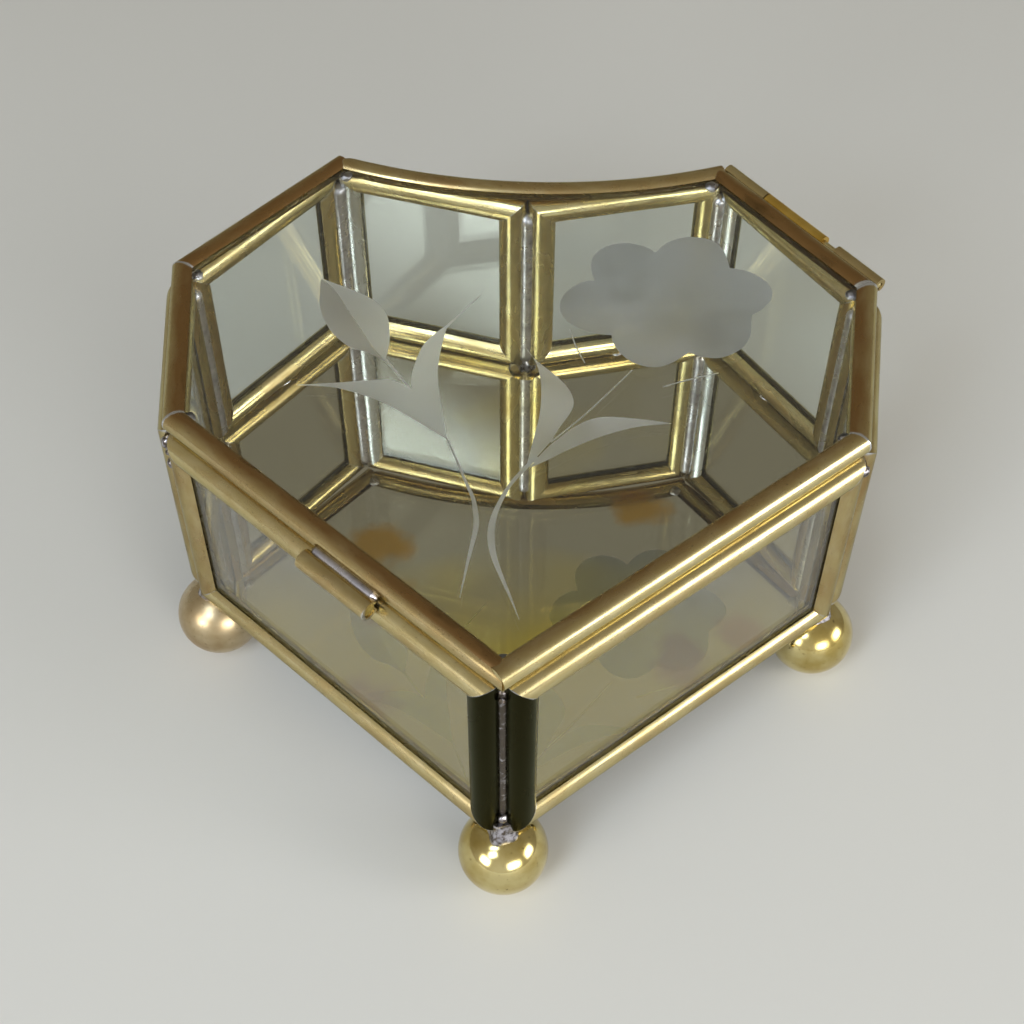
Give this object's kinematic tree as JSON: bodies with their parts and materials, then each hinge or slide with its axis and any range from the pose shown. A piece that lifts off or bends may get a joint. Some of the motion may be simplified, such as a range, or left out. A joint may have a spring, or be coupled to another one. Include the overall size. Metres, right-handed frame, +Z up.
{
  "type": "glass casket box",
  "caption": "Heart-shaped box of clear glass panes in round brass channel, with a mirror floor, ball feet and a flat glass lid hinged along one back wall",
  "frame": {"origin": "On the surface the feet stand on, under the middle of the heart: on the plane between its left and right halves, half way from the front foot to the lobes", "axes": "+Z up, +Y from the heart's front point to its notch, +X to the right seen from the front point, towards the hinge"},
  "size_m": [0.1042, 0.1011, 0.0529],
  "materials": {
    "brass": "round slotted channel, aged and unlacquered, with brown patches",
    "bright_brass": "polished solid brass, lightly yellowed",
    "solder": "tin-lead solder as it set, silvery grey",
    "clear_glass": "clear float glass",
    "silvered_glass": "silvered float glass, face up"
  },
  "bodies": {
    "box": {"front_right_frame": "brass", "right_frame": "brass", "back_right_frame": "brass", "notch_right_frame": "brass", "notch_left_frame": "brass", "back_left_frame": "brass", "left_frame": "brass", "front_left_frame": "brass", "front_right_pane": "clear_glass", "right_pane": "clear_glass", "back_right_pane": "clear_glass", "notch_right_pane": "clear_glass", "notch_left_pane": "clear_glass", "back_left_pane": "clear_glass", "left_pane": "clear_glass", "front_left_pane": "clear_glass", "corner_solder": "solder", "floor_mirror": "silvered_glass", "floor_solder": "solder", "front_foot": "bright_brass", "right_foot": "bright_brass", "rear_foot": "bright_brass", "left_foot": "bright_brass", "foot_solder": "solder", "hinge_knuckle_side": "brass", "hinge_knuckle_lobe": "brass", "hinge_pin": "brass", "hinge_solder_box": "solder"},
    "lid": {"lid_pane": "clear_glass", "lid_rail_front_right": "brass", "lid_rail_right": "brass", "lid_rail_back_right": "brass", "lid_rail_notch": "brass", "lid_rail_back_left": "brass", "lid_rail_left": "brass", "lid_rail_front_left": "brass", "lid_solder": "solder", "hinge_knuckle_lid": "bright_brass", "hinge_solder_lid": "solder", "thumb_tab": "bright_brass", "thumb_tab_solder": "solder"}
  },
  "joints": [
    {"name": "lid_hinge", "type": "hinge", "parent": "box", "child": "lid", "pos_m": [0.04112, 0.03657, 0.05054], "axis": [-0.654, 0.7565, 0], "range_deg": [0, 105]}
  ]
}
